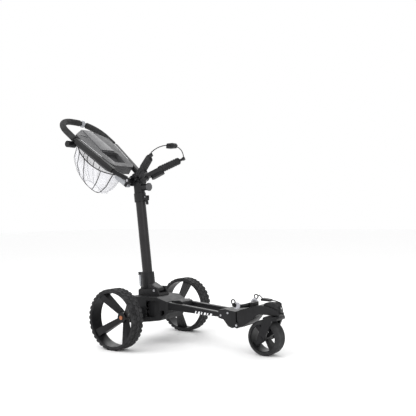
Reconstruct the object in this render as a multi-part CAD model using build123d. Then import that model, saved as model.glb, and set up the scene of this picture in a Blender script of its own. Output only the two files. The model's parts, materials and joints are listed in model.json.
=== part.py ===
"""Electric three-wheeled golf push cart, millimetres.

Origin on the floor under the rear axle, +X forward to the front wheel, +Y left, +Z up.
Each function below makes the pieces of one assembly and keeps them by name.
"""
from build123d import *
import os
from math import atan2, cos, degrees, radians, sin, tan

os.makedirs("parts", exist_ok=True)

# ---- overall ----
overall_width = 600        # over the two rear tyres
wheelbase = 641            # rear axle to front axle
bearing_gap = 0.05         # radial clearance of a shaft that turns or slides
body_gap = 0.4             # air left between pieces that move past each other

# ---- rear wheels ----
rear_tyre_r = 140
rear_tyre_width = 68
tyre_wall = 13
rim_wall = 4.5
spoke_count = 4
hub_r = 24
hub_length = 42
axle_r = 8
button_r = 6
cap_r = 9.5
button_travel = 4         # the release button goes this far into the hub

# ---- front wheel and fork ----
front_tyre_r = 77
front_tyre_width = 74
front_tyre_wall = 16
front_axle_r = 6
fork_plate = 13
caster_trail = 51          # front axle behind the swivel axis
crown_low, crown_high = 157, 175
swivel_stem_r = 8
swivel_race_r = 15
swivel_boss_r = 20
head_nose = 710            # front face of the head

# ---- chassis ----
chassis_half_width = 95
chassis_rear, chassis_front = -78, 150
chassis_top, chassis_bottom = 222, 100
shell_wall = 3
split_z = 158
motor_r = 31
axle_tube_r = 27
bearing_r = 16
rail_y = 55
rail_width = 24
rail_rear_height, rail_front_height = 36, 22
rail_rear_z, rail_front_z = 183, 168
rail_end = 436
rail_wall = 2.5

# ---- front fold ----
fold_x, fold_z = 526, 126
fold_lug_r = 13
fold_pin_r = 5
fold_lug_half = 36
knuckle_half = 60
head_top = 218
head_floor = 179           # underside of the head above the fork crown

# ---- mast ----
mast_lean = 6.4            # degrees back from upright
mast_x, mast_z = -25, 258  # foot of the mast's axis
mast_nose_r = 14              # round nose of the socket about its fold pin
mast_r = 25
mast_wall = 3
mast_length = 430
mast_pivot_x, mast_pivot_z = 40, 247
mast_pin_r = 6
cheek_in, cheek_out = 27.5, 38
sleeve_start = 473         # hub sleeve above the collar, along the mast

# ---- handle ----
hub_x, hub_z = -102, 790
handle_rise = 37.5         # degrees above level, running back
tube_lift = 0              # tube's centre line above the pivot, square to the handle
grip_tube_r = 12
foam_r = 16.5
handle_half_width = 141    # to the tube's centre line
handle_length = 567
handle_corner_r = 128
elbow_s, elbow_y = 72, 94  # where the tube turns away from the pivot
grip_start_s = 362
handle_pin_r = 7
ear_r = 15
hub_half = 29
console_high, console_low = 15, -32

# ---- bag brackets ----
bracket_rise = 27          # degrees above level, running forward
arm_pivot_x, arm_pivot_y = 16, 32
arm_half_thickness = 11
cord_r = 2.25              # elastic cords
cord_arc_share = 0.45      # of the shorter straight run taken by each arc

pieces = {}
axle_z = rear_tyre_r
wheel_outer = overall_width / 2
wheel_inner = wheel_outer - rear_tyre_width
rim_r = rear_tyre_r - tyre_wall
sides = {"left": 1, "right": -1}


def gather(name, solid):
    """Keep a loose solid under a shared name."""
    pieces[name] = Compound(children=list(pieces[name].solids()) + list(solid.solids())) if name in pieces else solid


def block(x, y, z):
    """A block from its low and high values along each axis."""
    centre = Pos(sum(x) / 2, sum(y) / 2, sum(z) / 2)
    return centre * Box(x[1] - x[0], y[1] - y[0], z[1] - z[0])


def rod(start, end, radius):
    """A round bar from one point to another."""
    way = Vector(*end) - Vector(*start)
    return Solid.make_cylinder(radius, way.length, Plane(origin=start, z_dir=way))


def tube(start, end, outer, inner):
    return rod(start, end, outer) - rod(start, end, inner)


def across(x, z, y_low, y_high, radius):
    """A round bar along Y."""
    return rod((x, y_low, z), (x, y_high, z), radius)


def side_rod(side, y_in, y_out, radius):
    """A round bar on the rear axle line, given as distances out from the middle."""
    return across(0, axle_z, *sorted((side * y_in, side * y_out)), radius)


def rounded(points, radius):
    """A closed outline with every corner rounded."""
    return make_face(FilletPolyline(*points, radius=radius, close=True))


def side_slab(points, radius, y_low, y_high):
    """An XZ outline given thickness from y_low to y_high."""
    plane = Plane(origin=(0, y_low, 0), x_dir=(1, 0, 0), z_dir=(0, -1, 0))
    return extrude(plane * rounded(points, radius), amount=y_high - y_low, dir=(0, 1, 0))


def plan_slab(points, radius, z_low, z_high):
    """An XY outline given thickness from z_low to z_high."""
    return extrude(Pos(0, 0, z_low) * rounded(points, radius), amount=z_high - z_low, dir=(0, 0, 1))


def both(points):
    """An outline for the +Y side, closed by its mirror image."""
    return points + [(x, -y) for x, y in reversed(points)]


def link(a, ra, b, rb, low, high):
    """A plate round two circles in the XY plane."""
    discs = (Pos(*a) * Circle(ra)).edges() + (Pos(*b) * Circle(rb)).edges()
    return extrude(Pos(0, 0, low) * make_hull(discs), amount=high - low, dir=(0, 0, 1))


def side_link(a, ra, b, rb, y_low, y_high):
    """A plate round two circles in the XZ plane."""
    upright = Plane(origin=(0, y_low, 0), x_dir=(1, 0, 0), z_dir=(0, -1, 0))
    discs = (Pos(*a) * Circle(ra)).edges() + (Pos(*b) * Circle(rb)).edges()
    return extrude(upright * make_hull(discs), amount=y_high - y_low, dir=(0, 1, 0))


# ------------------------------------------------------------------ rear wheels
def rear_wheel(name, side, first_spoke):
    centre_y = side * (wheel_outer - rear_tyre_width / 2)
    near, far = centre_y - rear_tyre_width / 2, centre_y + rear_tyre_width / 2
    ring = across(0, axle_z, near, far, rear_tyre_r)
    ring = fillet(ring.edges().filter_by(GeomType.CIRCLE), 10)
    pieces[f"rear_tyre_{name}"] = ring - across(0, axle_z, near - 1, far + 1, rim_r)

    edge = rear_tyre_width / 2 - 3
    barrel = across(0, axle_z, centre_y - edge, centre_y + edge, rim_r)
    barrel -= across(0, axle_z, centre_y - edge - 1, centre_y + edge + 1, rim_r - rim_wall)
    hub_mid = side * (wheel_inner - 24)
    rim = barrel + across(0, axle_z, hub_mid - hub_length / 2, hub_mid + hub_length / 2, hub_r)
    for number in range(spoke_count):
        angle = radians(first_spoke + number * 360 / spoke_count)
        out = Vector(cos(angle), 0, sin(angle))
        axle = Vector(0, 0, axle_z)
        root = Plane(origin=axle + out * (hub_r - 6) + Vector(0, hub_mid, 0), x_dir=(0, 1, 0), z_dir=out)
        foot = Plane(origin=axle + out * (rim_r - 3) + Vector(0, centre_y, 0), x_dir=(0, 1, 0), z_dir=out)
        rim += loft([root * Rectangle(20, 24), foot * Rectangle(40, 36)])
    hub_face = wheel_inner - 3
    cap_in = hub_face + 0.2
    stem_end = hub_face - 9.5
    rim -= side_rod(side, 150, stem_end + 0.5, axle_r)
    rim -= side_rod(side, stem_end, hub_face + 10, button_r + bearing_gap)
    rim -= side_rod(side, cap_in - button_travel - 0.2, hub_face + 1, cap_r + bearing_gap)
    pieces[f"rear_rim_{name}"] = rim
    pieces[f"axle_shaft_{name}"] = side_rod(side, 98, stem_end - 6.5, axle_r)
    button = side_rod(side, stem_end, wheel_inner - 1, button_r) + side_rod(side, cap_in, wheel_inner + 1, cap_r)
    pieces[f"wheel_button_{name}"] = button


# ------------------------------------------------------------------ chassis
def shell_body(inset):
    """The housing between the rear wheels, drawn in by a wall thickness."""
    low, high = chassis_bottom + inset, chassis_top - inset
    rear, front = chassis_rear + inset, chassis_front - inset
    profile = [(rear, low + 12), (rear, high - 10), (rear + 18, high), (96, high),
               (front, rail_rear_z + rail_rear_height / 2 + 1 - inset), (front, low + 50),
               (112, low + 14), (10, low), (-40, low)]
    half = chassis_half_width - inset
    plan = both([(rear, half), (66, half), (front, rail_y + rail_width / 2 + 4 - inset)])
    return side_slab(profile, 7, -half, half) & plan_slab(plan, 10, low, high)


def chassis():
    shell = shell_body(0) - shell_body(shell_wall)
    window = side_slab([(37, 128), (37, 205), (107, 205), (107, 165), (88, 128)], 9, -120, 120)
    front_window = side_slab([(114, 132), (114, 162), (133, 162), (133, 144)], 5, -120, 120)
    shell -= window + front_window
    axle_hole = across(0, axle_z, -120, 120, axle_tube_r)
    shell -= axle_hole
    upper = shell & block((-200, 200), (-200, 200), (split_z, 260))
    lower = shell & block((-200, 200), (-200, 200), (40, split_z))
    pieces["chassis_upper_shell"] = upper
    pieces["chassis_lower_shell"] = lower

    pack = plan_slab(both([(38, 82), (78, 82), (112, 70)]), 6, 124, 208)
    pieces["battery_pack"] = pack + block((50, 70), (-40, 40), (207, 214))
    pieces["motor_controller"] = block((-70, -40), (-60, 60), (118, 190))

    for name, side in sides.items():
        motor = side_rod(side, 18, chassis_half_width - shell_wall, motor_r) + side_rod(side, 92, 97, bearing_r)
        gather("motors", motor - side_rod(side, 90, 99, axle_r + 1))
        sleeve = side_rod(side, 92, 180, axle_tube_r)
        for number in range(8):
            rib_y = 104 + number * 9
            sleeve += side_rod(side, rib_y - 1.5, rib_y + 1.5, axle_tube_r + 4)
        gather("axle_housings", sleeve - side_rod(side, 90, 182, bearing_r))
        gather("axle_bearings", side_rod(side, 166, 178, bearing_r) - side_rod(side, 160, 182, axle_r + bearing_gap))

        def rail(shrink):
            wide = rail_width - shrink
            back = Plane(origin=(chassis_front, side * rail_y, rail_rear_z), x_dir=(0, 1, 0), z_dir=(1, 0, 0))
            tip = Plane(origin=(rail_end, side * rail_y, rail_front_z), x_dir=(0, 1, 0), z_dir=(1, 0, 0))
            return loft([back * RectangleRounded(wide, rail_rear_height - shrink, 3),
                         tip * RectangleRounded(wide, rail_front_height - shrink, 3)])

        gather("rails", rail(0) - rail(2 * rail_wall))

    cover_half = rail_y - rail_width / 2 - body_gap
    cover = side_slab([(chassis_front, 172), (chassis_front, 206), (196, 211), (214, 204), (214, 176)],
                      4, -cover_half, cover_half)
    pieces["rail_cover"] = cover

    rear_low = rail_front_z - 15
    profile = [(rail_end, rear_low), (rail_end, 188), (470, 194), (fold_x - 3, 186), (fold_x - 3, 118),
               (506, 113), (486, 120), (462, rear_low - 5)]
    knuckle = side_slab(profile, 3, -knuckle_half - 20, knuckle_half + 20)
    knuckle &= plan_slab(both([(rail_end - 20, 69), (500, 66), (fold_x + 20, knuckle_half - 5)]), 3, 90, 210)
    for low, high in ((fold_lug_half + body_gap, knuckle_half), (-knuckle_half, -fold_lug_half - body_gap)):
        knuckle += across(fold_x, fold_z, low, high, fold_lug_r)
    lug_room = across(fold_x, fold_z, -fold_lug_half - body_gap, fold_lug_half + body_gap, fold_lug_r + 2)
    knuckle -= lug_room + across(fold_x, fold_z, -80, 80, fold_pin_r)
    pieces["front_knuckle"] = knuckle
    gather("fold_pins", across(fold_x, fold_z, -knuckle_half - 3, knuckle_half + 3, fold_pin_r))


# ------------------------------------------------------------------ front head, fork and wheel
swivel_x = wheelbase + caster_trail
axle_front_z = front_tyre_r
boss_top = 212
lug_top = 190              # the strap ends on this lug on the nose


def front_head():
    profile = [(fold_x + 2, 146), (fold_x + 2, 186), (548, 197), (586, 206), (612, 215), (636, head_top),
               (664, 215), (690, 209), (head_nose, 195), (head_nose, head_floor), (626, head_floor), (606, 168),
               (590, 150), (574, 136), (556, 124), (542, 119), (534, 140)]
    head = side_slab(profile, 2, -knuckle_half - 10, knuckle_half + 10)
    plan = both([(fold_x - 20, knuckle_half), (566, knuckle_half - 2), (606, 38), (690, 33), (head_nose + 14, 13)])
    head &= plan_slab(plan, 6, 90, 240)
    head += side_link((fold_x, fold_z), fold_lug_r, (fold_x + 24, fold_z + 9), 15, -fold_lug_half, fold_lug_half)
    ear_room = fold_lug_r + 1.5
    for low, high in ((fold_lug_half + 0.01, 70), (-70, -fold_lug_half - 0.01)):
        head -= across(fold_x, fold_z, low, high, ear_room)
    head += rod((swivel_x, 0, head_floor), (swivel_x, 0, boss_top), swivel_boss_r)
    head += block((head_nose - 4, head_nose + 16), (-5, 5), (head_floor + 2, lug_top))
    head -= rod((swivel_x, 0, head_floor - 1), (swivel_x, 0, boss_top - 6), swivel_race_r)
    head -= across(fold_x, fold_z, -80, 80, fold_pin_r + bearing_gap)
    pieces["front_head"] = head
    for low in (head_floor, boss_top - 18):
        race = tube((swivel_x, 0, low), (swivel_x, 0, low + 9), swivel_race_r, swivel_stem_r + bearing_gap)
        gather("swivel_bearings", race)


def fork_and_wheel():
    blade_in = front_tyre_width / 2 + 4
    blade_out = blade_in + fork_plate
    crown = side_slab([(654, crown_low), (654, 170), (664, crown_high), (704, crown_high), (713, 166), (713, crown_low)],
                      2, -blade_out - 9, blade_out + 9)
    crown &= plan_slab(both([(630, blade_out), (694, blade_out), (732, 24)]), 10, 140, 180)
    fork = crown
    for side in (1, -1):
        low, high = sorted((side * blade_in, side * blade_out))
        fork += side_link((wheelbase, axle_front_z), 17, (676, 157), 18, low, high)
    fork += rod((swivel_x, 0, crown_high - 5), (swivel_x, 0, boss_top - 7), swivel_stem_r)
    fork += rod((swivel_x, 0, crown_high - 5), (swivel_x, 0, head_floor - body_gap), swivel_race_r)
    fork -= across(wheelbase, axle_front_z, -80, 80, front_axle_r)
    pieces["front_fork"] = fork
    axle = across(wheelbase, axle_front_z, -blade_out - 2, blade_out + 2, front_axle_r)
    for side in (1, -1):
        low, high = sorted((side * blade_out, side * (blade_out + 3)))
        axle += across(wheelbase, axle_front_z, low, high, 10)
    pieces["front_axle"] = axle

    half = front_tyre_width / 2
    ring = across(wheelbase, axle_front_z, -half, half, front_tyre_r)
    ring = fillet(ring.edges().filter_by(GeomType.CIRCLE), 14)
    inner_r = front_tyre_r - front_tyre_wall
    pieces["front_tyre"] = ring - across(wheelbase, axle_front_z, -half - 1, half + 1, inner_r)
    rim = across(wheelbase, axle_front_z, -half + 5, half - 5, inner_r)
    rim -= across(wheelbase, axle_front_z, -half, half, inner_r - 4)
    rim += across(wheelbase, axle_front_z, -half - 3, half + 3, 14)
    for number in range(4):
        angle = radians(35 + number * 90)
        out = Vector(cos(angle), 0, sin(angle))
        centre = Vector(wheelbase, 0, axle_front_z)
        root = Plane(origin=centre + out * 10, x_dir=(0, 1, 0), z_dir=out)
        foot = Plane(origin=centre + out * (inner_r - 3), x_dir=(0, 1, 0), z_dir=out)
        rim += loft([root * Rectangle(26, 14), foot * Rectangle(40, 20)])
    rim -= across(wheelbase, axle_front_z, -80, 80, front_axle_r + bearing_gap)
    pieces["front_rim"] = rim


# ------------------------------------------------------------------ lower bag bracket
def cord(points):
    """A round cord along straight runs joined by tangent arcs."""
    spots = [Vector(*point) for point in points]
    radii = []
    for before, here, after in zip(spots, spots[1:], spots[2:]):
        turn = radians((here - before).get_angle(after - here))
        shorter = min((here - before).length, (after - here).length)
        radii.append(cord_arc_share * shorter / tan(turn / 2))
    path = FilletPolyline(*spots, radius=radii)
    print("cord", round(path.length, 1), "mm, arcs", [round(radius) for radius in radii])
    return sweep(Plane(origin=path @ 0, z_dir=path % 0) * Circle(cord_r), path)


def lower_bracket():
    base = side_slab([(546, 200), (546, 214), (560, 222), (590, 226), (590, 206)], 2, -26, 26)
    seat = side_slab([(640, 212), (648, 228), (696, 231), (706, 224), (706, 208), (690, 204)], 2, -24, 24)
    seat -= pieces["front_head"]
    pieces["bag_seat"] = seat - rod((swivel_x, 0, 150), (swivel_x, 0, boss_top), swivel_boss_r)
    for name, side in sides.items():
        path = FilletPolyline((566, side * 26, 214), (548, side * 52, 211), (535, side * 86, 217),
                              (534, side * 95, 223), radius=6)
        arm = sweep(Plane(origin=path @ 0, z_dir=path % 0) * Circle(8), path)
        base -= arm
        gather("lower_arms", arm - pieces["front_head"])
        pad = rod((542, side * 67.5, 213.7), (536, side * 83, 216.5), 15)
        gather("lower_pads", fillet(pad.edges(), 3) - arm)
        ring = Pos(535, side * 98, 235) * Rot(90, 0, 0) * Torus(9.5, 2.6)
        gather("strap_rings", ring - arm)
    pieces["lower_bracket_base"] = base - pieces["front_head"]

    buckle = side_slab([(622, 234), (622, 243), (628, 246), (664, 243), (669, 240), (669, 234)], 1.5, -12, 12)
    ring_end = [(549, 95, 238), (568, 66, 249), (594, 30, 250), (624, 4, 242)]
    nose_end = [(667, 0, 239), (698, 0, 238), (720, 0, 220), (722, 0, lug_top + 1)]
    gather("base_strap", cord(ring_end))
    gather("base_strap", cord(nose_end))
    pieces["strap_buckle"] = buckle - pieces["base_strap"]


# ------------------------------------------------------------------ mast and hub
lean = radians(mast_lean)
mast_way = Vector(-sin(lean), 0, cos(lean))
mast_foot = Vector(mast_x, 0, mast_z)
stem_r = mast_r - mast_wall - bearing_gap


def up(distance):
    """A point on the mast's axis."""
    return mast_foot + mast_way * distance


def mast():
    outline = [(-62, chassis_top), (-62, 246), (-54, 252), (20, 252), (28, 264), (53, 264), (74, chassis_top)]
    foot = side_slab(outline, 2, -cheek_out, cheek_out)
    foot -= block((-70, 80), (-cheek_in, cheek_in), (chassis_top + 14, 300))
    foot -= across(mast_pivot_x, mast_pivot_z, -60, 60, mast_pin_r)
    foot -= across(mast_pivot_x, mast_pivot_z, -cheek_in, cheek_in, mast_nose_r + body_gap)
    pieces["mast_foot"] = foot
    gather("fold_pins", across(mast_pivot_x, mast_pivot_z, -cheek_out - 3, cheek_out + 3, mast_pin_r))

    socket_low = chassis_top + 14 + body_gap
    socket = rod(up(-4), up(74), mast_r + 8)
    heel = side_slab([(-56, socket_low), (-56, 262), (16, 262), (26, socket_low + 1)], 3, -27, 27)
    nose = side_link((mast_pivot_x, mast_pivot_z), mast_nose_r, (-6, 262), 20, -26, 26)
    socket += heel + nose
    socket -= rod(up(0), up(90), mast_r)
    socket -= across(mast_pivot_x, mast_pivot_z, -60, 60, mast_pin_r + bearing_gap)
    socket -= block((-80, 80), (-60, 60), (socket_low - 40, socket_low))
    pieces["mast_socket"] = socket
    pieces["mast_tube"] = tube(up(0), up(mast_length), mast_r, mast_r - mast_wall)
    collar = tube(up(mast_length - 2), up(sleeve_start - 1), mast_r + 5, mast_r)
    collar -= rod(up(mast_length - 3), up(mast_length), mast_r)
    ear_low, ear_high = up(mast_length + 6), up(mast_length + 30)
    for low, high in ((5, 10), (-10, -5)):
        collar += block((ear_low.X + mast_r + 2, ear_low.X + mast_r + 24), (low, high), (ear_low.Z, ear_high.Z))
    bore = rod(up(mast_length - 4), up(sleeve_start + 2), mast_r - mast_wall + 0.1)
    fill = tube(up(mast_length), up(sleeve_start - 1), mast_r + 1, mast_r - mast_wall + 0.1)
    clamp_x, clamp_z = ear_low.X + mast_r + 15, ear_high.Z - 8
    collar = collar + fill - bore - across(clamp_x, clamp_z, -20, 20, 3)
    pieces["mast_collar"] = collar
    gather("mast_pins", across(clamp_x, clamp_z, -12, 12, 3))
    lever = side_link((clamp_x, clamp_z), 6, (clamp_x + 5, clamp_z - 34), 4.5, -4.7, 4.7)
    pieces["clamp_lever"] = lever - across(clamp_x, clamp_z, -20, 20, 3 + bearing_gap)

    latch_x, latch_z = -76, 278
    latch = side_link((latch_x, latch_z + 48), 6, (latch_x + 4, latch_z - 14), 5, -12, 12)
    ears = block((-78, -52), (-20, -12.4), (latch_z + 40, latch_z + 54))
    ears += block((-78, -52), (12.4, 20), (latch_z + 40, latch_z + 54))
    ears -= rod(up(0), up(90), mast_r)
    pin_line = (latch_x, latch_z + 48)
    pieces["mast_socket"] += ears - rod(up(0), up(90), mast_r)
    pieces["mast_socket"] -= across(*pin_line, -30, 30, 2.5)
    pieces["mast_socket"] -= across(*pin_line, -12.3, 12.3, 8)
    latch -= rod(up(-6), up(90), mast_r + 8 + body_gap)
    pieces["fold_latch"] = latch - across(*pin_line, -30, 30, 2.5 + bearing_gap)
    gather("mast_pins", across(*pin_line, -20, 20, 2.5))

    pieces["upper_stem"] = tube(up(mast_length - 210), up(505), stem_r, stem_r - 2.5)


bracket_place = Pos(-85, 0, 800) * Rot(0, -bracket_rise, 0)
knob_x, knob_z = -21, 757  # back face of the height knob
stud_r = 4


def hub_and_upper_bracket():
    hub = across(hub_x, hub_z, -hub_half, hub_half, 27)
    hub += rod(up(sleeve_start), up(536), mast_r + 2)
    hub += side_slab([(-112, 766), (-112, 812), (-60, 836), (-48, 806), (-60, 776)], 4, -24, 24)
    hub += rod((-80, 0, knob_z), (knob_x - body_gap, 0, knob_z), 17)
    plate_half = arm_half_thickness + body_gap
    plates = Part()
    for low in (plate_half, -plate_half - 6):
        for side in (1, -1):
            plates += link((-6, 0), 24, (arm_pivot_x, side * arm_pivot_y), 17, low, low + 6)
    plates = bracket_place * plates
    plates -= across(hub_x, hub_z, -66, 66, ear_r + body_gap)
    spine = bracket_place * block((-24, 10), (-11, 11), (-plate_half, plate_half))
    arm_room = Part() + [bracket_place * Pos(arm_pivot_x, s * arm_pivot_y, 0) * Cylinder(19, 2 * plate_half)
                         for s in (1, -1)]
    ahead = bracket_place * Pos(60, 0, 0) * Box(96, 200, 2 * plate_half)
    hub = hub - plates - arm_room - ahead + (spine - arm_room)
    hub -= rod(up(sleeve_start - 2), up(506), stem_r)
    hub -= across(hub_x, hub_z, -60, 60, handle_pin_r + bearing_gap)
    stud_bore = rod((-70, 0, knob_z), (knob_x + 1, 0, knob_z), stud_r + bearing_gap)
    pieces["bracket_hub"] = hub - stud_bore
    pieces["upper_stem"] -= stud_bore
    pieces["handle_pivot_pin"] = across(hub_x, hub_z, -68, 68, handle_pin_r)

    knob = rod((knob_x, 0, knob_z), (knob_x + 10, 0, knob_z), 20.5)
    knob = fillet(knob.edges(), 2.5)
    for number in range(8):
        angle = radians(number * 45)
        scallop = (23 * cos(angle), knob_z + 23 * sin(angle))
        knob -= rod((knob_x - 1, *scallop), (knob_x + 11, *scallop), 5)
    pieces["height_knob"] = knob + rod((-66, 0, knob_z), (knob_x + 2, 0, knob_z), stud_r)

    t = arm_half_thickness
    for name, side in sides.items():
        arm = link((arm_pivot_x, side * arm_pivot_y), 15, (104, side * 66), 13, -t, t)
        arm += link((104, side * 66), 13, (190, side * 112), 10, -t, t)
        arm += link((58, side * 48), 13, (104, side * 66), 10, 2 - t - 20, 2 - t)
        core = arm
        arm += link((196, side * 115), 6, (212, side * 124), 5, -5, 5)
        arm += Pos(216, side * 126, 0) * Cylinder(8, 14)
        pin = Pos(arm_pivot_x, side * arm_pivot_y, 0) * Cylinder(4, 2 * plate_half + 12)
        arm -= Pos(arm_pivot_x, side * arm_pivot_y, 0) * Cylinder(4 + bearing_gap, 80)
        pieces[f"upper_arm_{name}"] = bracket_place * arm
        gather("arm_pins", bracket_place * pin)
        plates -= bracket_place * pin
        pad = link((108, side * 68), 18, (184, side * 108), 15, -17, 17) - core
        for number in range(7):
            share = (number + 0.5) / 7
            mid = Pos(108 + 76 * share, side * (68 + 40 * share), 0)
            turn = Rot(0, 0, side * degrees(atan2(40, 76)))
            pad -= mid * turn * Box(3, 60, 60) - mid * turn * Box(4, 28, 29)
        pieces[f"upper_pad_{name}"] = bracket_place * pad
    pieces["bracket_plates"] = plates

    half = [(107, 126.5, 909), (116, 110, 926), (127, 74, 943), (132, 34, 951)]
    over = [(x, -y, z) for x, y, z in half] + [(134, 0, 953)] + half[::-1]
    pieces["bungee_cord"] = cord(over)
    slider = side_slab([(108, 938), (112, 962), (150, 962), (158, 950), (150, 938)], 4, -15, 15)
    pieces["bungee_slider"] = slider - pieces["bungee_cord"]


# ------------------------------------------------------------------ handle
handle_place = Pos(hub_x, 0, hub_z) * Rot(0, handle_rise, 0)
knob_s, knob_in = 374, 117


def flat_rod(x, z, y_low, y_high, radius):
    """A round bar along Y in the handle's own axes."""
    return Pos(x, (y_low + y_high) / 2, z) * Rot(90, 0, 0) * Cylinder(radius, y_high - y_low)


def handle():
    half = [(-16, 52), (-elbow_s, elbow_y), (-grip_start_s, handle_half_width), (-handle_length, handle_half_width)]
    loop = [(x, -y, tube_lift) for x, y in half] + [(x, y, tube_lift) for x, y in half[::-1]]
    path = FilletPolyline(*loop, radius=[28, 60, handle_corner_r, handle_corner_r, 60, 28])
    start = Plane(origin=path @ 0, z_dir=path % 0)
    core = sweep(start * Circle(grip_tube_r), path)
    frame = core - sweep(start * Circle(grip_tube_r - 2), path)
    ears = Part()
    for side in (1, -1):
        low, high = sorted((side * (hub_half + body_gap), side * 64))
        ears += flat_rod(0, 0, low, high, ear_r)
    frame = frame - ears + ears - flat_rod(0, 0, -100, 100, handle_pin_r)

    arm_way = Vector(elbow_s - grip_start_s, handle_half_width - elbow_y, 0).normalized()
    for side in (1, -1):
        way = Vector(arm_way.X, side * arm_way.Y, 0)
        inward = Vector(arm_way.Y, -side * arm_way.X, 0) * -side
        foot = Vector(-elbow_s, side * elbow_y, tube_lift) + way * 12 + Vector(0, -side * 2, 0)
        outline = Plane(origin=foot, x_dir=inward, z_dir=way) * RectangleRounded(37, 28, 9)
        gather("arm_casings", extrude(outline, amount=270, dir=way) - core)

    grip_half = [(-grip_start_s - 4, handle_half_width), (-handle_length, handle_half_width)]
    grip = [(x, -y, tube_lift) for x, y in grip_half] + [(x, y, tube_lift) for x, y in grip_half[::-1]]
    grip_path = FilletPolyline(*grip, radius=handle_corner_r)
    foam = sweep(Plane(origin=grip_path @ 0, z_dir=grip_path % 0) * Circle(foam_r), grip_path) - core
    corner_s, corner_y = handle_length - handle_corner_r, handle_half_width - handle_corner_r
    turn = radians(20)
    dial_y = corner_y + handle_corner_r * sin(turn)
    spot = Vector(-(corner_s + handle_corner_r * cos(turn)), dial_y, tube_lift)
    along = Vector(sin(turn), cos(turn), 0)
    pieces["grip_foam"] = foam - block((-handle_length - 60, -corner_s), (dial_y - 17, dial_y + 17), (-30, 40))
    dial = fillet(rod(spot - along * 9, spot + along * 9, 18).edges(), 2)
    pieces["speed_dial"] = dial - rod(spot - along * 12, spot + along * 12, grip_tube_r + 0.8)

    plan = [(-112, 66), (-134, 88), (-357, 120), (-396, 120), (-460, 34)]
    body = plan_slab(both(plan), 5, console_low, console_high)
    body -= plan_slab(both([(-146, 40), (-246, 58)]), 8, -12, 40)
    body -= plan_slab(both([(-256, 50), (-448, 33)]), 3, console_high - 3, 40)
    body -= plan_slab(both([(-264, 44), (-436, 28)]), 3, -22, 40)
    body -= Pos(-386, -72, console_high) * Rot(0, 0, 67) * Box(44, 8, 10)
    body -= Pos(-434, 42, console_high) * Box(40, 8, 10)
    body -= flat_rod(-knob_s, -35, -140, -knob_in + 0.6, 17.6) + flat_rod(-knob_s, -35, -140, -98, 5 + bearing_gap)
    pieces["console_body"] = body - pieces["arm_casings"]
    lid = plan_slab(both([(-256.6, 49.2), (-447.4, 32.4)]), 3, console_high - 2.6, console_high + 3)
    lid = chamfer(lid.edges().group_by(Axis.Z)[-1], 1.5)
    pieces["console_lid"] = lid + flat_rod(-256.6, console_high + 3, -46, 46, 2.4)

    barrel = flat_rod(-knob_s, -35, -knob_in - 54, -knob_in, 17)
    barrel = fillet(barrel.edges().filter_by(GeomType.CIRCLE), 2.5)
    pieces["side_knob"] = barrel + flat_rod(-knob_s, -35, -knob_in - 2, -100, 5)

    lever_y, lever_z = -46, -28
    lever = make_hull((Pos(0, lever_z) * Circle(11)).edges() + (Pos(-79, lever_z - 3) * Circle(14)).edges())
    lever = Plane(origin=(0, lever_y - 11, 0), x_dir=(1, 0, 0), z_dir=(0, -1, 0)) * lever
    lever = extrude(lever, amount=22, dir=(0, 1, 0))
    lever = fillet(lever.edges().group_by(Axis.Y)[0], 3)
    pieces["tilt_lever"] = lever - flat_rod(0, lever_z, -80, 0, 3 + bearing_gap)
    for low in (lever_y + 11.4, lever_y - 16.4):
        frame += block((-7, 7), (low, low + 5), (lever_z - 7, 0)) - flat_rod(0, 0, -100, 100, ear_r - 2)
    frame += flat_rod(0, lever_z, lever_y - 16.4, lever_y + 16.4, 3)
    pieces["handle_frame"] = frame - flat_rod(0, 0, -100, 100, handle_pin_r)

    mouth = Pos(0, 0, console_low) * rounded(both([(-96, 58), (-440, 90)]), 30)
    belly = Pos(0, 0, -122) * rounded(both([(-116, 52), (-424, 80)]), 30)
    floor = Pos(0, 0, -206) * rounded(both([(-172, 34), (-300, 46)]), 30)
    mouth_in = Pos(0, 0, console_low + 1) * rounded(both([(-98.5, 55.5), (-437.5, 87.5)]), 28)
    belly_in = Pos(0, 0, -121) * rounded(both([(-118.5, 49.5), (-421.5, 77.5)]), 28)
    floor_in = Pos(0, 0, -203.5) * rounded(both([(-174.5, 31.5), (-297.5, 43.5)]), 28)
    net = loft([mouth, belly, floor], ruled=True) - loft([mouth_in, belly_in, floor_in], ruled=True)
    sag_r = 325
    pieces["net"] = net - flat_rod(-273, console_low - 45 + sag_r, -200, 200, sag_r)

    for name in ("handle_frame", "arm_casings", "grip_foam", "speed_dial", "console_body", "console_lid",
                 "side_knob", "tilt_lever", "net"):
        pieces[name] = handle_place * pieces[name]


rear_wheel("left", 1, 80)
rear_wheel("right", -1, 35)
chassis()
front_head()
fork_and_wheel()
lower_bracket()
mast()
hub_and_upper_bracket()
handle()

for name, piece in pieces.items():
    piece.label = name
    export_step(piece, f"parts/{name}.step")
print(len(pieces), "pieces")
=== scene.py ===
import json
import math

import bmesh
import bpy
from mathutils import Matrix, Vector


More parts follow.
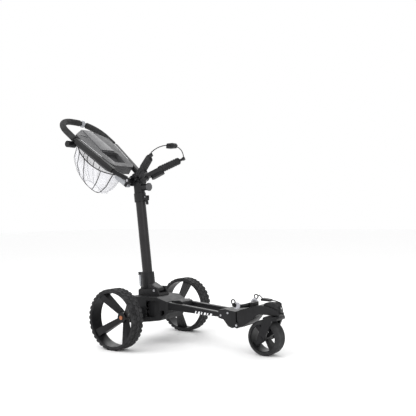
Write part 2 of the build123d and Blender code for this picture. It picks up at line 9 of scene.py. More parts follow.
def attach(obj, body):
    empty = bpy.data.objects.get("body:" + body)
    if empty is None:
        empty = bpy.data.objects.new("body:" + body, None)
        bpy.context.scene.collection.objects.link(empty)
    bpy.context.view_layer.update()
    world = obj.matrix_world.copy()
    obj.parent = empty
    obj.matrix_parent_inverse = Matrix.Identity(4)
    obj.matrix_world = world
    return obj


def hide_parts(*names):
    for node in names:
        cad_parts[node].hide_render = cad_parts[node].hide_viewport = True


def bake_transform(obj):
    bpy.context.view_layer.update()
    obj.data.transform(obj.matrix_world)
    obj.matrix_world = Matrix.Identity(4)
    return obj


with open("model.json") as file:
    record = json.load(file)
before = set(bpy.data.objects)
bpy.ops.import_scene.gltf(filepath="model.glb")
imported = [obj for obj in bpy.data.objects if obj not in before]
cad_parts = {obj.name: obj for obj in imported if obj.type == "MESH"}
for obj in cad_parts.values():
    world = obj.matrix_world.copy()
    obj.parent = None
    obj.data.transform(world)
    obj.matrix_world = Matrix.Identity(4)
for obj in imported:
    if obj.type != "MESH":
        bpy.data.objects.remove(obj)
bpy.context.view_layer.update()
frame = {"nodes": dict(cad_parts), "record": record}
nodes = frame["nodes"]
bodyOf = {node: body for body, names in frame["record"]["behaviour"]["bodies"].items() for node in names}
print("stage: frame loaded")

# the handle's own axes: x runs back to front along it, z square to it
handlePlace = Matrix.Translation((-0.102, 0, 0.790)) @ Matrix.Rotation(math.radians(37.5), 4, "Y")
bracketPlace = Matrix.Translation((-0.085, 0, 0.800)) @ Matrix.Rotation(math.radians(-27), 4, "Y")
sides = {"left": 1, "right": -1}


def shaderNodes(name):
    material = bpy.data.materials.new(name)
    material.use_nodes = True
    tree = material.node_tree
    return material, tree, tree.nodes["Principled BSDF"]


def link(tree, source, output, target, entry):
    tree.links.new(source.outputs[output], target.inputs[entry])


def noiseNode(tree, coords, scale, detail=4.0, rough=0.55):
    noise = tree.nodes.new("ShaderNodeTexNoise")
    noise.inputs["Scale"].default_value = scale
    noise.inputs["Detail"].default_value = detail
    noise.inputs["Roughness"].default_value = rough
    link(tree, coords, "Object", noise, "Vector")
    return noise


def rangeNode(tree, low, high, fromLow=0.3, fromHigh=0.7):
    box = tree.nodes.new("ShaderNodeMapRange")
    box.inputs["From Min"].default_value = fromLow
    box.inputs["From Max"].default_value = fromHigh
    box.inputs["To Min"].default_value = low
    box.inputs["To Max"].default_value = high
    return box


# a solid finish: colour drifts in patches, roughness varies, and a fine grain stands in the surface
def surface(name, colour, rough=0.45, spread=0.12, patch=14, grain=900, bump=0.08, metallic=0.0, dust=0.06,
            shine=0.24):
    material, tree, shader = shaderNodes(name)
    coords = tree.nodes.new("ShaderNodeTexCoord")
    drift = noiseNode(tree, coords, patch)
    mix = tree.nodes.new("ShaderNodeMix")
    mix.data_type = "RGBA"
    mix.inputs[6].default_value = (*[c * (1 - spread) for c in colour], 1)
    mix.inputs[7].default_value = (*[min(1, c * (1 + spread) + dust * 0.05) for c in colour], 1)
    span = rangeNode(tree, 0, 1)
    link(tree, drift, "Fac", span, "Value")
    link(tree, span, "Result", mix, 0)
    tree.links.new(mix.outputs[2], shader.inputs["Base Color"])
    roughSpan = rangeNode(tree, max(0.05, rough - 0.07), min(1, rough + 0.07))
    smear = noiseNode(tree, coords, patch * 3)
    link(tree, smear, "Fac", roughSpan, "Value")
    link(tree, roughSpan, "Result", shader, "Roughness")
    fine = noiseNode(tree, coords, grain, 2.0)
    bumpNode = tree.nodes.new("ShaderNodeBump")
    bumpNode.inputs["Strength"].default_value = bump
    bumpNode.inputs["Distance"].default_value = 0.0006
    link(tree, fine, "Fac", bumpNode, "Height")
    link(tree, bumpNode, "Normal", shader, "Normal")
    shader.inputs["Metallic"].default_value = metallic
    shader.inputs["Specular IOR Level"].default_value = shine
    return material


finish = {
    "blackPlastic": surface("blackPlastic", (0.0075, 0.0075, 0.0085), 0.42, bump=0.12),
    "housing": surface("housing", (0.0090, 0.0090, 0.0100), 0.5, patch=9, bump=0.2),
    # painted shade: near-black for the flat sheets that stand for the slots below the handle casings' ends
    "slotShadeBlack": surface("slotShadeBlack", (0.004, 0.004, 0.0045), 0.6),
    "powderCoat": surface("powderCoat", (0.0080, 0.0080, 0.0090), 0.36, grain=1500, bump=0.15,
                          metallic=0.2),
    "anodised": surface("anodised", (0.022, 0.021, 0.022), 0.33, grain=1800, bump=0.06, metallic=0.3,
                        spread=0.05),
    "tyreRubber": surface("tyreRubber", (0.010, 0.010, 0.011), 0.72, patch=30, grain=700, bump=0.25,
                          dust=0.5),
    "ribRubber": surface("ribRubber", (0.0095, 0.0095, 0.0105), 0.66, patch=40, grain=1200, bump=0.3,
                         dust=0.3),
    "gripFoam": surface("gripFoam", (0.016, 0.016, 0.0165), 0.75, patch=50, grain=1600, bump=0.5, dust=0.3),
    "armGrey": surface("armGrey", (0.011, 0.011, 0.0115), 0.5, patch=12, bump=0.12),
    "consoleGrey": surface("consoleGrey", (0.062, 0.062, 0.065), 0.48, patch=10, bump=0.18, spread=0.06),
    "lidGrey": surface("lidGrey", (0.120, 0.120, 0.124), 0.4, patch=8, bump=0.12, spread=0.05),
    "silverPaint": surface("silverPaint", (0.36, 0.37, 0.39), 0.34, metallic=0.45, grain=2000, bump=0.04,
                           spread=0.05),
    "knobGrey": surface("knobGrey", (0.085, 0.085, 0.088), 0.45, bump=0.1),
    "steel": surface("steel", (0.42, 0.42, 0.44), 0.28, metallic=0.95, patch=60, grain=2500, bump=0.04,
                     spread=0.08),
    "copperCap": surface("copperCap", (0.36, 0.14, 0.07), 0.3, metallic=0.35, spread=0.1),
    "palePad": surface("palePad", (0.42, 0.42, 0.45), 0.55, patch=35, grain=900, bump=0.25, spread=0.08),
    "elastic": surface("elastic", (0.008, 0.008, 0.0085), 0.8, patch=80, grain=1100, bump=0.6),
    "piping": surface("piping", (0.006, 0.006, 0.007), 0.75, patch=90, grain=1400, bump=0.5),
    "printWhite": surface("printWhite", (0.80, 0.80, 0.82), 0.5, spread=0.04),
}

nodeFinish = {
    "blackPlastic": ["battery_pack", "bracket_hub", "bracket_plates", "bungee_slider", "clamp_lever",
                     "front_head", "front_knuckle", "front_rim", "lower_bracket_base", "mast_collar",
                     "mast_foot", "mast_socket",
                     "rail_cover", "rear_rim_left", "rear_rim_right", "side_knob", "strap_buckle",
                     "upper_arm_left", "upper_arm_right"],
    "housing": ["chassis_upper_shell", "chassis_lower_shell", "axle_housings"],
    "powderCoat": ["front_axle", "front_fork", "handle_frame", "lower_arms", "rails", "strap_rings"],
    "anodised": ["mast_tube", "upper_stem"],
    "tyreRubber": ["front_tyre", "rear_tyre_left", "rear_tyre_right"],
    "ribRubber": ["upper_pad_left", "upper_pad_right", "bag_seat"],
    "gripFoam": ["grip_foam"],
    "armGrey": ["arm_casings"],
    "consoleGrey": ["console_body", "motor_controller"],
    "lidGrey": ["console_lid"],
    "silverPaint": ["tilt_lever", "fold_latch", "speed_dial"],
    "knobGrey": ["height_knob"],
    "steel": ["fold_pins", "handle_pivot_pin", "mast_pins", "motors",
              "swivel_bearings", "arm_pins", "axle_bearings", "axle_shaft_left", "axle_shaft_right"],
    "copperCap": ["wheel_button_left", "wheel_button_right"],
    "palePad": ["lower_pads"],
    "elastic": ["bungee_cord", "base_strap", "net"],
}
finishOf = {node: name for name, names in nodeFinish.items() for node in names}
for node, obj in nodes.items():
    obj.data.materials.clear()
    obj.data.materials.append(finish[finishOf[node]])
print("stage: materials ready")


# turns a bmesh into a finished object on a body, with its place in its mesh
def addPiece(name, shape, material, body, place=None, smoothAngle=35):
    if place is not None:
        bmesh.ops.transform(shape, matrix=place, verts=shape.verts)
    mesh = bpy.data.meshes.new(name)
    shape.to_mesh(mesh)
    shape.free()
    piece = bpy.data.objects.new(name, mesh)
    bpy.context.scene.collection.objects.link(piece)
    mesh.materials.append(finish[material])
    mesh.polygons.foreach_set("use_smooth", [True] * len(mesh.polygons))
    mesh.set_sharp_from_angle(angle=math.radians(smoothAngle))
    if body:
        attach(piece, body)
    return piece


# a copy of a CAD node with rounded edges, shown in its place
def softened(node, width, slot=None):
    shape = bmesh.new()
    shape.from_mesh(nodes[node].data)
    bmesh.ops.remove_doubles(shape, verts=shape.verts, dist=1e-6)
    bmesh.ops.dissolve_limit(shape, angle_limit=math.radians(1.0), verts=shape.verts, edges=shape.edges)
    piece = addPiece(node + "_soft", shape, finishOf[node], None, smoothAngle=40)
    bevel = piece.modifiers.new("edges", "BEVEL")
    bevel.width = width
    bevel.segments = 2
    bevel.limit_method = "ANGLE"
    bevel.angle_limit = math.radians(38)
    bevel.harden_normals = True
    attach(piece, bodyOf[node])
    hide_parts(node)
    return piece


# a NURBS curve through the control points, with a round section if it has a radius
def smoothLine(name, points, radius=0.0, closed=False):
    curve = bpy.data.curves.new(name, "CURVE")
    curve.dimensions = "3D"
    spline = curve.splines.new("NURBS")
    spline.points.add(len(points) - 1)
    for spot, point in zip(spline.points, points):
        spot.co = (*point, 1)
    spline.use_cyclic_u = closed
    spline.order_u = 3
    spline.use_endpoint_u = not closed
    spline.resolution_u = 8
    curve.bevel_depth = radius
    curve.bevel_resolution = 3
    curve.use_fill_caps = True
    line = bpy.data.objects.new(name, curve)
    bpy.context.scene.collection.objects.link(line)
    return line


# the same line as a mesh tube, with the points it follows
def meshTube(name, points, radius, material, closed=False):
    line = smoothLine(name + "Line", points, radius, closed)
    thin = smoothLine(name + "Thin", points, 0, closed)
    bpy.context.view_layer.update()
    graph = bpy.context.evaluated_depsgraph_get()
    mesh = bpy.data.meshes.new_from_object(line.evaluated_get(graph))
    track = bpy.data.meshes.new_from_object(thin.evaluated_get(graph))
    path = [v.co.copy() for v in track.vertices]
    mesh.name = name
    mesh.materials.clear()
    mesh.materials.append(finish[material])
    mesh.polygons.foreach_set("use_smooth", [True] * len(mesh.polygons))
    piece = bpy.data.objects.new(name, mesh)
    bpy.context.scene.collection.objects.link(piece)
    for spare in (line, thin):
        bpy.data.objects.remove(spare)
    return piece, path


# a flat outline pulled up into a plate
def slab(points, low, high):
    shape = bmesh.new()
    face = shape.faces.new([shape.verts.new((x, y, low)) for x, y in points])
    grown = bmesh.ops.extrude_face_region(shape, geom=[face])
    top = [v for v in grown["geom"] if isinstance(v, bmesh.types.BMVert)]
    bmesh.ops.translate(shape, vec=(0, 0, high - low), verts=top)
    bmesh.ops.recalc_face_normals(shape, faces=shape.faces)
    return shape


def addCamera():
    view = {"place": (1.9196, -2.2614, 0.6061), "azimuth": 34.91, "elevation": -0.79, "roll": -0.86,
            "lens": 51.343}
    a, e, roll = (math.radians(view[k]) for k in ("azimuth", "elevation", "roll"))
    back = Vector((math.sin(a) * math.cos(e), -math.cos(a) * math.cos(e), math.sin(e)))
    right = Vector((math.cos(a), math.sin(a), 0))
    up = back.cross(right)
    turned = right * math.cos(roll) + up * math.sin(roll)
    upright = up * math.cos(roll) - right * math.sin(roll)
    data = bpy.data.cameras.new("camera")
    data.lens = view["lens"]
    data.sensor_width = 36
    data.clip_end = 60
    camera = bpy.data.objects.new("camera", data)
    axes = Matrix((turned, upright, back)).transposed().to_4x4()
    camera.matrix_world = Matrix.Translation(view["place"]) @ axes
    bpy.context.scene.collection.objects.link(camera)
    bpy.context.scene.camera = camera


addCamera()
print("stage: camera set")


# each cord follows its control points; the bungee is two halves that meet in the slider
def addCords():
    cord = {"radius": 0.00225,
            "bungee": [(0.134, 0, 0.953), (0.132, 0.034, 0.951), (0.127, 0.074, 0.943), (0.116, 0.110, 0.926),
                       (0.107, 0.1265, 0.909)],
            "stretchFrom": (0.133, 0.015, 0.953),
            "ring": [(0.549, 0.095, 0.238), (0.568, 0.066, 0.249), (0.594, 0.030, 0.250),
                     (0.624, 0.004, 0.242)],
            "nose": [(0.667, 0, 0.239), (0.698, 0, 0.238), (0.720, 0, 0.220), (0.722, 0, 0.191)]}
    for name, side in sides.items():
        route = [(x, side * y, z) for x, y, z in cord["bungee"]]
        piece, path = meshTube("bungee_" + name, route, cord["radius"], "elastic")
        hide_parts("bungee_cord")
        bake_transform(piece)
    for name in ("ring", "nose"):
        piece, path = meshTube("strap_" + name, cord[name], cord["radius"], "elastic")
        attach(piece, "head")
        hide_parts("base_strap")


addCords()
print("stage: cords laid")


def addTyre(name, side):
    tyre = {"outer": 0.140, "tread": 0.0026, "width": 0.068, "wall": 0.013, "blocks": 36, "rows": 3,
            "blockRadius": 0.0142, "gap": 0.0016}
    middle = side * (0.300 - tyre["width"] / 2)
    base = tyre["outer"] - tyre["tread"]
    half = tyre["width"] / 2
    inner = tyre["outer"] - tyre["wall"]
    outline = [(inner, -half + 0.003), (inner, half - 0.003), (inner + 0.002, half), (base - 0.008, half),
               (base - 0.003, half - 0.0015), (base - 0.0006, half - 0.005), (base, half - 0.010),
               (base, -half + 0.010), (base - 0.0006, -half + 0.005), (base - 0.003, -half + 0.0015),
               (base - 0.008, -half), (inner + 0.002, -half)]
    shape = bmesh.new()
    ring = [shape.verts.new((r, y, 0)) for r, y in outline]
    edges = [shape.edges.new((a, b)) for a, b in zip(ring, ring[1:] + ring[:1])]
    bmesh.ops.spin(shape, geom=ring + edges, cent=(0, 0, 0), axis=(0, 1, 0), angle=math.tau, steps=96,
                   use_merge=True)
    bmesh.ops.recalc_face_normals(shape, faces=shape.faces)
    block = bmesh.new()
    bmesh.ops.create_circle(block, cap_ends=True, segments=6, radius=tyre["blockRadius"] - tyre["gap"])
    grown = bmesh.ops.extrude_face_region(block, geom=block.faces[:])
    top = [v for v in grown["geom"] if isinstance(v, bmesh.types.BMVert)]
    bmesh.ops.translate(block, vec=(0, 0, tyre["tread"] + 0.0008), verts=top)
    bmesh.ops.scale(block, vec=(0.9, 0.9, 1), verts=top)
    crown = [f for f in block.faces if all(v in top for v in f.verts)]
    bmesh.ops.inset_region(block, faces=crown, thickness=0.0035, depth=-0.0007)
    bmesh.ops.recalc_face_normals(block, faces=block.faces)
    mould = bpy.data.meshes.new("mould")
    block.to_mesh(mould)
    block.free()
    pitch = tyre["blockRadius"] * 1.5
    for row in range(tyre["rows"]):
        offset = (row - (tyre["rows"] - 1) / 2) * pitch * 1.03
        for number in range(tyre["blocks"]):
            angle = (number + 0.5 * (row % 2)) * math.tau / tyre["blocks"]
            before = len(shape.verts)
            shape.from_mesh(mould)
            shape.verts.ensure_lookup_table()
            fresh = shape.verts[before:]
            place = (Matrix.Rotation(angle, 4, "Y") @ Matrix.Translation((0, offset, base - 0.0008))
                     @ Matrix.Rotation(math.radians(90), 4, "Z"))
            bmesh.ops.transform(shape, matrix=place, verts=fresh)
    piece = addPiece("tread_" + name, shape, "tyreRubber", "wheel_" + name,
                     Matrix.Translation((0, middle, 0.140)), smoothAngle=28)
    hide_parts("rear_tyre_" + name)
    bpy.data.meshes.remove(mould)


for name, side in sides.items():
    addTyre(name, side)
print("stage: rear tyres")

# moulded pieces get rounded edges, with the radius of each in metres
edgeWidths = {"front_head": 0.004, "front_knuckle": 0.003, "chassis_upper_shell": 0.002,
              "chassis_lower_shell": 0.002, "bracket_hub": 0.003, "console_body": 0.0025, "console_lid": 0.001,
              "mast_foot": 0.002, "mast_socket": 0.002, "rail_cover": 0.002, "front_fork": 0.002,
              "upper_arm_left": 0.003, "upper_arm_right": 0.003, "bag_seat": 0.002, "tilt_lever": 0.002,
              "fold_latch": 0.0015, "clamp_lever": 0.001, "bungee_slider": 0.0025, "strap_buckle": 0.001,
              "rear_rim_left": 0.0015, "rear_rim_right": 0.0015, "front_rim": 0.0015, "bracket_plates": 0.0012,
              "battery_pack": 0.002, "lower_bracket_base": 0.002, "handle_frame": 0.001, "mast_collar": 0.001}
for node, width in edgeWidths.items():
    softened(node, width)
print("stage: edges rounded")


# a skin pulled ring by ring, closed at its last ring and, if asked, at its first
def pulledRings(rings, closeFirst=True, withUv=False):
    shape = bmesh.new()
    if withUv:
        shape.loops.layers.uv.new("UVMap")
    ring = bmesh.ops.create_circle(shape, cap_ends=closeFirst, segments=len(rings[0]), radius=0.1)["verts"]
    rows = []
    for points in rings:
        if rows:
            grown = bmesh.ops.extrude_edge_only(shape, edges=ringEdges(ring))
            fresh = {v for v in grown["geom"] if isinstance(v, bmesh.types.BMVert)}
            ring = [next(e.other_vert(v) for e in v.link_edges if e.other_vert(v) in fresh) for v in ring]
        rows.append(ring)
        for vert, point in zip(ring, points):
            vert.co = point
    bmesh.ops.contextual_create(shape, geom=ringEdges(ring))
    return shape, rows


def ringEdges(ring):
    held = set(ring)
    return list(dict.fromkeys(e for v in ring for e in v.link_edges if e.other_vert(v) in held))


# a closed skin round the rings of a pad, with its faces outwards
def loft(rings):
    shape = pulledRings(rings)[0]
    bmesh.ops.recalc_face_normals(shape, faces=shape.faces)
    return shape


# a ring round a middle point, rounder as its power nears 1
def squareRing(middle, across, along, wide, high, count=48, power=0.62):
    points = []
    for k in range(count):
        c, s = math.cos(k * math.tau / count), math.sin(k * math.tau / count)
        points.append(middle + across * (wide * math.copysign(abs(c) ** power, c))
                      + along * (high * math.copysign(abs(s) ** power, s)))
    return points


# a rubber sleeve on an upper arm, with grooves round it and crowned ribs between them
def addUpperPad(name, side):
    pad = {"low": (0.108, 0.068, 0.018), "high": (0.184, 0.108, 0.015), "half": 0.0172, "ribs": 7,
           "groove": 0.0017, "grooveShare": 0.17, "steps": 150, "bunch": 0.35, "end": 0.005, "endHeight": 0.80,
           "crown": 0.012, "trim": 0.0004}
    first = Vector((pad["low"][0], side * pad["low"][1], 0))
    last = Vector((pad["high"][0], side * pad["high"][1], 0))
    span = (last - first).length
    way = (last - first) / span
    across, stand = Vector((-way.y, way.x, 0)), Vector((0, 0, 1))
    lowRadius, highRadius = pad["low"][2], pad["high"][2]
    start, stop = -lowRadius + pad["trim"], span + highRadius - pad["trim"]
    rings = []
    for step in range(pad["steps"] + 1):
        share = 0.5 - 0.5 * math.cos(math.pi * step / pad["steps"])
        t = start + (stop - start) * (pad["bunch"] * share + (1 - pad["bunch"]) * step / pad["steps"])
        if t < 0:
            wide = math.sqrt(max(1e-8, lowRadius ** 2 - t * t))
        elif t > span:
            wide = math.sqrt(max(1e-8, highRadius ** 2 - (t - span) ** 2))
        else:
            wide = lowRadius + (highRadius - lowRadius) * t / span
        beat = t / span * pad["ribs"]
        dip = 0
        if 0 < t < span:
            dip = pad["groove"] * max(0, 1 - (abs(beat - math.floor(beat) - 0.5) / pad["grooveShare"]) ** 2)
        ease = max(0, min(1, (t - start) / pad["end"], (stop - t) / pad["end"]))
        high = pad["half"] * (pad["endHeight"] + (1 - pad["endHeight"]) * math.sin(ease * math.pi / 2))
        crown = 1 + pad["crown"] * math.cos(beat * math.tau)
        rings.append(squareRing(first + way * t, across, stand, (wide - dip) * crown, (high - dip) * crown))
    piece = addPiece("ribbed_pad_" + name, loft(rings), "ribRubber", "arm_" + name, bracketPlace,
                     smoothAngle=50)
    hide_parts("upper_pad_" + name)


# a pale round pad with two grooves at the tip of each lower arm
def addLowerPad(name, side):
    pad = {"radius": 0.015, "steps": 40, "grooves": 2, "groove": 0.0009, "grooveShare": 0.22, "end": 0.0035,
           "endRadius": 0.80}
    first = Vector((0.542, side * 0.0675, 0.2137))
    last = Vector((0.536, side * 0.083, 0.2165))
    span = (last - first).length
    way = (last - first) / span
    across = way.cross(Vector((0, 0, 1))).normalized()
    stand = across.cross(way)
    rings = []
    for step in range(pad["steps"] + 1):
        share = step / pad["steps"]
        edge = min(1, min(share, 1 - share) * span / pad["end"])
        radius = pad["radius"] * (pad["endRadius"] + (1 - pad["endRadius"]) * math.sin(edge * math.pi / 2))
        beat = share * (pad["grooves"] + 1)
        near = min(abs(beat - n) for n in range(1, pad["grooves"] + 1))
        radius -= pad["groove"] * max(0, 1 - (near / pad["grooveShare"]) ** 2)
        rings.append(squareRing(first + way * span * share, across, stand, radius, radius, 40, 1.0))
    piece = addPiece("foot_pad_" + name, loft(rings), "palePad", "head", smoothAngle=50)
    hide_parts("lower_pads")


# points along the handle bar, with the way across it
def gripLine():
    grip = {"start": 0.366, "long": 0.567, "half": 0.141, "corner": 0.128}
    cornerS, cornerY = grip["long"] - grip["corner"], grip["half"] - grip["corner"]
    straight = cornerS - grip["start"]
    line = [(Vector((-grip["start"] - straight * k / 16, -grip["half"], 0)), Vector((0, -1, 0)))
            for k in range(16)]
    for turn in range(-90, 91):
        if turn == 0:
            line += [(Vector((-grip["long"], cornerY * k / 4, 0)), Vector((-1, 0, 0))) for k in range(-4, 5)]
            continue
        a = math.radians(turn)
        out = Vector((-math.cos(a), math.sin(a), 0))
        middle = Vector((-cornerS, math.copysign(cornerY, turn), 0))
        line.append((middle + out * grip["corner"], out))
    line += [(Vector((-cornerS + straight * k / 16, grip["half"], 0)), Vector((0, 1, 0)))
             for k in range(1, 17)]
    return line


# the foam sleeve in two runs, with the dial's gap between them and a seam along the underside
def addGrip():
    foam = {"radius": 0.0168, "gap": (0.0405, 0.0731), "seam": 0.0008, "around": 40, "seamAt": 10,
            "lip": 0.0016, "lipLength": 0.002, "unevenness": 0.00018}
    line = gripLine()
    runs = {"long": [p for p in line if p[0].y < foam["gap"][0]],
            "short": [p for p in line if p[0].y > foam["gap"][1]]}
    for name, run in runs.items():
        rings = []
        for number, (spot, out) in enumerate(run):
            inward = min((spot - run[0][0]).length, (spot - run[-1][0]).length)
            radius = foam["radius"] - foam["lip"] * max(0, 1 - inward / foam["lipLength"]) ** 2
            ring = []
            for k in range(foam["around"]):
                a = k * math.tau / foam["around"]
                reach = radius - (foam["seam"] if k == foam["seamAt"] else 0)
                reach += foam["unevenness"] * math.sin(number * 1.7 + 3 * a)
                ring.append(spot + out * reach * math.cos(a) - Vector((0, 0, reach * math.sin(a))))
            rings.append(ring)
        piece = addPiece("grip_" + name, loft(rings), "gripFoam", "handle", handlePlace, smoothAngle=55)
        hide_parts("grip_foam")


for name, side in sides.items():
    addUpperPad(name, side)
    addLowerPad(name, side)
addGrip()
print("stage: pads and grip")


net = {
    "around": 72, "down": 22, "middle": 0.268, "half": 0.170, "square": 2 / 2.7, "taper": 0.22,
    "sag": 0.043, "sagHalf": 0.165, "ripple": 0.0022, "round": 0.35,
    # share of the depth, middle of the ring, half its length, half its width, height
    "levels": [(0.00, 0.268, 0.170, 0.074, -0.036), (0.45, 0.268, 0.155, 0.067, -0.122),
               (0.80, 0.248, 0.108, 0.054, -0.180), (1.00, 0.236, 0.050, 0.030, -0.203)],
    "bands": (198, 214, 243, 262, 292, 325, 35, 68, 98, 118, 146, 162),  # degrees round the net
    "rim": 0.0026, "band": 0.0021, "mouth": 0.84, "fullness": 0.92,
}


# a point of the net in the handle's axes: turn runs round it, depth from mouth to floor
def netPoint(turn, depth):
    for first, second in zip(net["levels"], net["levels"][1:]):
        if depth <= second[0]:
            break
    share = (depth - first[0]) / (second[0] - first[0])
    share = share * share * (3 - 2 * share) * net["round"] + share * (1 - net["round"])
    middle, long, wide, drop = (a + (b - a) * share for a, b in zip(first[1:], second[1:]))
    c, s = math.cos(turn), math.sin(turn)
    x = -middle + long * math.copysign(abs(c) ** net["square"], c)
    lean = 1 - net["taper"] * (x + middle) / net["half"]
    y = wide * lean * math.copysign(abs(s) ** net["square"], s)
    sag = net["sag"] * max(0, 1 - ((x + net["middle"]) / net["sagHalf"]) ** 2) * (1 - depth) ** 2
    ripple = net["ripple"] * math.sin(7 * turn + 3 * depth) * math.sin(math.pi * min(1, depth * 1.1))
    return Vector((x, y * (1 + ripple * 8), drop - sag + ripple))


# pale threads round open cells
def netMaterial():
    material, tree, shader = shaderNodes("netMesh")
    uv = tree.nodes.new("ShaderNodeTexCoord")
    cells = tree.nodes.new("ShaderNodeTexVoronoi")
    cells.feature = "DISTANCE_TO_EDGE"
    cells.inputs["Scale"].default_value = 110
    cells.inputs["Randomness"].default_value = 0.15
    link(tree, uv, "UV", cells, "Vector")
    holes = rangeNode(tree, 1, 0.12, 0.10, 0.22)
    link(tree, cells, "Distance", holes, "Value")
    link(tree, holes, "Result", shader, "Alpha")
    shade = noiseNode(tree, uv, 30)
    ramp = tree.nodes.new("ShaderNodeMix")
    ramp.data_type = "RGBA"
    ramp.inputs[6].default_value = (0.78, 0.78, 0.82, 1)
    ramp.inputs[7].default_value = (0.90, 0.90, 0.92, 1)
    link(tree, shade, "Fac", ramp, 0)
    tree.links.new(ramp.outputs[2], shader.inputs["Base Color"])
    shader.inputs["Roughness"].default_value = 0.85
    return material


def addNet():
    rings = [[netPoint(number * math.tau / net["around"], level / net["down"])
              for number in range(net["around"])] for level in range(net["down"] + 1)]
    shape, rows = pulledRings(rings, closeFirst=False, withUv=True)
    uvLayer = shape.loops.layers.uv["UVMap"]
    place = {vert: (number / net["around"], level / net["down"]) for level, row in enumerate(rows)
             for number, vert in enumerate(row)}
    for face in shape.faces:
        high = max(place[loop.vert][0] for loop in face.loops)
        for loop in face.loops:
            across, along = place[loop.vert]
            if high > 0.9 and across < 0.1 and len(face.verts) == 4:
                across += 1  # the last column's far side
            loop[uvLayer].uv = (across * 2.6, along)
    bmesh.ops.recalc_face_normals(shape, faces=shape.faces)
    area = sum(face.calc_area() for face in shape.faces)
    piece = addPiece("net_mesh", shape, "elastic", "handle", handlePlace, smoothAngle=180)
    piece.data.materials[0] = netMaterial()
    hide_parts("net")
    rim = [handlePlace @ netPoint(n * math.tau / 36, 0) for n in range(36)]
    trims = [meshTube("net_rim", rim, net["rim"], "piping", closed=True)[0]]
    for number, turn in enumerate(net["bands"]):
        line = [handlePlace @ netPoint(math.radians(turn + 5 * math.sin(3 * k / 9)), k / 9) for k in range(10)]
        trims.append(meshTube(f"net_band_{number}", line, net["band"], "piping")[0])
    hem = [handlePlace @ netPoint(n * math.tau / 36, 0.97) for n in range(36)]
    trims.append(meshTube("net_hem", hem, net["band"], "piping", closed=True)[0])
    for trim in trims:
        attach(trim, "handle")


addNet()
print("stage: net hung")


# slanted dashes along the near rail, every other one narrower
def addDashes():
    dash = {"count": 6, "first": 0.306, "step": 0.0165, "wide": 0.010, "tall": 0.011, "slant": 0.004,
            "narrow": 0.62, "thick": 0.0005, "face": -0.0671}
    rail = {"x": 0.150, "z": 0.1765, "fall": 0.0525, "below": 0.001}
    for number in range(dash["count"]):
        x = dash["first"] + number * dash["step"]
        z = rail["z"] - (x - rail["x"]) * rail["fall"] - rail["below"]
        wide = dash["wide"] * (1 if number % 2 else dash["narrow"])
        low, high = z - dash["tall"] / 2, z + dash["tall"] / 2
        points = [(x, low), (x + wide, low), (x + wide + dash["slant"], high), (x + dash["slant"], high)]
        place = Matrix.Translation((0, dash["face"], 0)) @ Matrix.Rotation(math.radians(90), 4, "X")
        piece = addPiece(f"rail_dash_{number}", slab(points, 0, dash["thick"]), "printWhite", "chassis", place)


# a pale printed stripe on the inner edge of each handle casing, and painted shade below its end: a flat dark
# sheet that stands for a dark slot
def addArmPrintAndShade():
    stripe = {"x": (-0.345, -0.190), "y": (0.1222, 0.0972), "wide": 0.0026, "low": 0.0138, "high": 0.0146}
    # the slot is painted shade, a thin dark sheet laid on the casing rather than a cut into it
    slot = {"x": (-0.182, -0.138), "y": (0.0960, 0.0890), "wide": 0.0040, "low": 0.0136, "high": 0.0145}
    printsAndShade = {"stripe": (stripe, "printWhite", "mesh"), "slot": (slot, "slotShadeBlack", "rubber")}
    for name, side in sides.items():
        for kind, (shapeOf, material, slotName) in printsAndShade.items():
            (x1, x2), (y1, y2), wide = shapeOf["x"], shapeOf["y"], shapeOf["wide"]
            outline = [(x1, side * y1), (x2, side * y2), (x2, side * (y2 + wide)), (x1, side * (y1 + wide))]
            shape = slab(outline, shapeOf["low"], shapeOf["high"])
            piece = addPiece(f"arm_{kind}_{name}", shape, material, "handle", handlePlace)


# socket screws: a domed head with a hex hole, set into the housings
def addScrews():
    screw = {"radius": 0.0048, "height": 0.004, "dome": 0.0012, "rim": 0.0016, "hole": 0.0014,
             "spots": [((0.118, -0.0725, 0.199), 90), ((0.485, -0.0672, 0.178), 90),
                       ((0.449, -0.0690, 0.165), 90), ((0.485, 0.0672, 0.178), -90),
                       ((0.449, 0.0690, 0.165), -90)]}
    for number, (spot, turn) in enumerate(screw["spots"]):
        shape = bmesh.new()
        bmesh.ops.create_cone(shape, cap_ends=True, segments=24, radius1=screw["radius"],
                              radius2=screw["radius"], depth=screw["height"])
        top = [f for f in shape.faces if f.normal.z > 0.9]
        bmesh.ops.bevel(shape, geom=[e for f in top for e in f.edges], offset=screw["dome"], segments=3,
                        profile=0.5, affect="EDGES", material=-1)
        top = [f for f in shape.faces if f.normal.z > 0.999 and len(f.verts) > 8]
        bmesh.ops.inset_region(shape, faces=top, thickness=screw["rim"], depth=0)
        bmesh.ops.inset_region(shape, faces=top, thickness=0.0001, depth=-screw["hole"])
        place = Matrix.Translation(spot) @ Matrix.Rotation(math.radians(turn), 4, "X")
        piece = addPiece(f"screw_{number}", shape, "steel", "chassis", place)


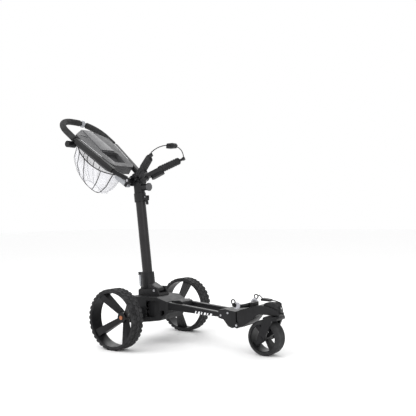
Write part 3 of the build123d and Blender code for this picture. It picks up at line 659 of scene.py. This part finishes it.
# ribs round the speed dial, which sits on the rounded far corner of the grip
def addDialRibs():
    rib = {"count": 28, "size": (0.0012, 0.0017, 0.0135), "radius": 0.0181, "edge": 0.0003, "angle": 20,
           "corner": (0.439, 0.013), "bend": 0.128}
    turn = math.radians(rib["angle"])
    middle = handlePlace @ Vector((-(rib["corner"][0] + rib["bend"] * math.cos(turn)),
                                   rib["corner"][1] + rib["bend"] * math.sin(turn), 0))
    along = handlePlace.to_3x3() @ Vector((math.sin(turn), math.cos(turn), 0))
    stand = along.to_track_quat("Z", "Y").to_matrix().to_4x4()
    shape = bmesh.new()
    for number in range(rib["count"]):
        made = bmesh.ops.create_cube(shape, size=1)["verts"]
        bmesh.ops.scale(shape, vec=rib["size"], verts=made)
        bmesh.ops.translate(shape, vec=(rib["radius"], 0, 0), verts=made)
        spin = Matrix.Rotation(number * math.tau / rib["count"], 3, "Z")
        bmesh.ops.rotate(shape, cent=(0, 0, 0), matrix=spin, verts=made)
    bmesh.ops.bevel(shape, geom=shape.edges[:], offset=rib["edge"], segments=1, profile=0.5, affect="EDGES",
                    material=-1, clamp_overlap=True)
    piece = addPiece("dial_ribs", shape, "silverPaint", "dial", Matrix.Translation(middle) @ stand)


addDashes()
addArmPrintAndShade()
addScrews()
addDialRibs()
print("stage: trim added")


def addStage():
    stage = {"size": 40.0, "colour": (0.965, 0.965, 0.965), "world": 1.0}
    shape = bmesh.new()
    bmesh.ops.create_grid(shape, x_segments=2, y_segments=2, size=stage["size"] / 2)
    mesh = bpy.data.meshes.new("floor")
    shape.to_mesh(mesh)
    shape.free()
    floor = bpy.data.objects.new("floor", mesh)
    bpy.context.scene.collection.objects.link(floor)
    material, tree, shader = shaderNodes("paleFloor")
    coords = tree.nodes.new("ShaderNodeTexCoord")
    mottle = noiseNode(tree, coords, 3)
    tone = tree.nodes.new("ShaderNodeMix")
    tone.data_type = "RGBA"
    tone.inputs[6].default_value = (*stage["colour"], 1)
    tone.inputs[7].default_value = (0.98, 0.98, 0.98, 1)
    link(tree, mottle, "Fac", tone, 0)
    tree.links.new(tone.outputs[2], shader.inputs["Base Color"])
    shader.inputs["Roughness"].default_value = 0.9
    mesh.materials.append(material)
    world = bpy.data.worlds.new("studio")
    world.use_nodes = True
    world.node_tree.nodes["Background"].inputs["Color"].default_value = (1, 1, 1, 1)
    world.node_tree.nodes["Background"].inputs["Strength"].default_value = stage["world"]
    bpy.context.scene.world = world
    lamps = {"key": ((-1.2, -2.6, 3.0), 3.0, 60), "fill": ((3.2, -1.4, 2.2), 2.4, 26),
             "back": ((-1.6, 2.8, 2.6), 2.4, 34)}
    for name, (place, size, power) in lamps.items():
        data = bpy.data.lights.new(name, "AREA")
        data.size = size
        data.energy = power
        lamp = bpy.data.objects.new(name, data)
        lamp.location = place
        lamp.rotation_euler = (Vector((0.1, 0, 0.5)) - Vector(place)).to_track_quat("-Z", "Y").to_euler()
        bpy.context.scene.collection.objects.link(lamp)


addStage()
bpy.context.scene.view_settings.view_transform = "Standard"
print("stage: scene finished")
